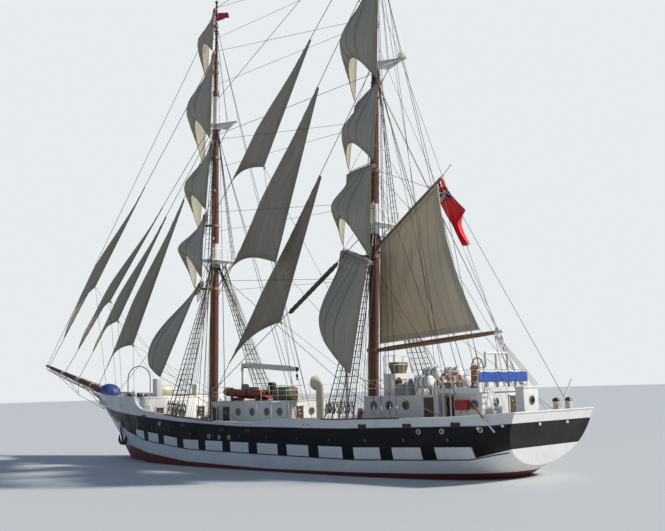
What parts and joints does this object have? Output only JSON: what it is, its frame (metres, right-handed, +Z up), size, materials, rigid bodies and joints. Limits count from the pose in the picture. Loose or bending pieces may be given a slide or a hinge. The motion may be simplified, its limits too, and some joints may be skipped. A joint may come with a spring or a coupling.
{
  "type": "tall ship, a two-masted brig under sail, 1:2 scale model",
  "caption": "Square-rigged two-masted sailing ship with braced yards, staysails, spanker, deck houses, rudder and twin screws.",
  "frame": {"origin": "amidships on the centreline at the waterline", "axes": "+X towards the bow, +Y to port, +Z up"},
  "size_m": [29.3963, 6.1395, 22.123],
  "materials": {
    "hull_paint": "satin",
    "antifouling": "matte",
    "white_paint": "satin",
    "mast_paint": "satin",
    "yard_paint": "satin",
    "varnish": "gloss",
    "sailcloth": "matte",
    "wire_rope": "matte",
    "orange_rubber": "matte",
    "raft_plastic": "gloss",
    "bronze": "satin",
    "iron": "matte"
  },
  "bodies": {
    "ship": {"hull": "hull_paint", "bowsprit": "mast_paint", "anchor_port": "iron", "anchor_starboard": "iron", "shaft_port": "antifouling", "shaft_starboard": "antifouling", "mast_fore": "mast_paint", "mast_main": "mast_paint", "topgallant_mast_fore": "mast_paint", "topgallant_mast_main": "mast_paint", "sail_flying_jib": "sailcloth", "sail_outer_jib": "sailcloth", "sail_inner_jib": "sailcloth", "sail_fore_topmast_staysail": "sailcloth", "sail_main_topgallant_staysail": "sailcloth", "sail_main_topmast_staysail": "sailcloth", "sail_main_staysail": "sailcloth", "shrouds_fore_port": "wire_rope", "shrouds_fore_starboard": "wire_rope", "shrouds_main_port": "wire_rope", "shrouds_main_starboard": "wire_rope", "midship_house": "white_paint", "main_house": "white_paint", "chart_house": "white_paint", "after_companionway": "white_paint", "forecastle_hatch": "white_paint", "rescue_boat": "orange_rubber", "crane_post": "white_paint", "liferafts": "raft_plastic", "helm_stand": "varnish"},
    "fore_yards": {"yard_fore_course": "yard_paint", "yard_fore_lower_topsail": "yard_paint", "yard_fore_upper_topsail": "yard_paint", "yard_fore_topgallant": "yard_paint", "yard_fore_royal": "yard_paint", "sail_fore_course": "sailcloth", "sail_fore_lower_topsail": "sailcloth", "sail_fore_upper_topsail": "sailcloth", "sail_fore_topgallant": "sailcloth", "sail_fore_royal": "sailcloth"},
    "main_yards": {"yard_main_course": "yard_paint", "yard_main_lower_topsail": "yard_paint", "yard_main_upper_topsail": "yard_paint", "yard_main_topgallant": "yard_paint", "yard_main_royal": "yard_paint", "sail_main_course": "sailcloth", "sail_main_lower_topsail": "sailcloth", "sail_main_upper_topsail": "sailcloth", "sail_main_topgallant": "sailcloth", "sail_main_royal": "sailcloth"},
    "spanker": {"spanker_boom": "varnish", "spanker_gaff": "varnish", "spanker_sail": "sailcloth"},
    "rudder": {"rudder": "antifouling"},
    "propeller_port": {"propeller_port": "bronze"},
    "propeller_starboard": {"propeller_starboard": "bronze"},
    "ship_wheel": {"ship_wheel": "varnish"},
    "crane_jib": {"crane_jib": "white_paint"},
    "midship_door": {"midship_door": "varnish"},
    "main_door": {"main_door": "varnish"}
  },
  "joints": [
    {"name": "fore_brace", "type": "hinge", "parent": "ship", "child": "fore_yards", "pos_m": [4.525, 0, 0], "axis": [-0.0297, 0, 0.9996], "range_deg": [-110, 0]},
    {"name": "main_brace", "type": "hinge", "parent": "ship", "child": "main_yards", "pos_m": [-4.07, 0, 0], "axis": [-0.0541, 0, 0.9985], "range_deg": [-100, 0]},
    {"name": "spanker_swing", "type": "hinge", "parent": "ship", "child": "spanker", "pos_m": [-4.07, 0, 0], "axis": [-0.0541, 0, 0.9985], "range_deg": [-18, 32]},
    {"name": "rudder_turn", "type": "hinge", "parent": "ship", "child": "rudder", "pos_m": [-8.925, 0, 0], "axis": [0, 0, 1], "range_deg": [-35, 35]},
    {"name": "screw_port_spin", "type": "hinge", "parent": "ship", "child": "propeller_port", "pos_m": [-8.675, 0.85, -1.3], "axis": [1, 0, 0], "continuous": true},
    {"name": "screw_starboard_spin", "type": "hinge", "parent": "ship", "child": "propeller_starboard", "pos_m": [-8.675, -0.85, -1.3], "axis": [1, 0, 0], "continuous": true},
    {"name": "wheel_turn", "type": "hinge", "parent": "ship", "child": "ship_wheel", "pos_m": [-8.5, 0, 3.175], "axis": [1, 0, 0], "range_deg": [-540, 540]},
    {"name": "crane_slew", "type": "hinge", "parent": "ship", "child": "crane_jib", "pos_m": [2.6, 0, 3.55], "axis": [0, 0, 1], "range_deg": [-65, 65]},
    {"name": "midship_door_swing", "type": "hinge", "parent": "ship", "child": "midship_door", "pos_m": [2.2, 1.3253, 0], "axis": [0, 0, -1], "range_deg": [0, 100]},
    {"name": "main_door_swing", "type": "hinge", "parent": "ship", "child": "main_door", "pos_m": [-7.3, 1.1753, 0], "axis": [0, 0, -1], "range_deg": [0, 100]}
  ],
  "couplings": [
    {"joint": "wheel_turn", "follows": "rudder_turn", "ratio": 15.4}
  ]
}
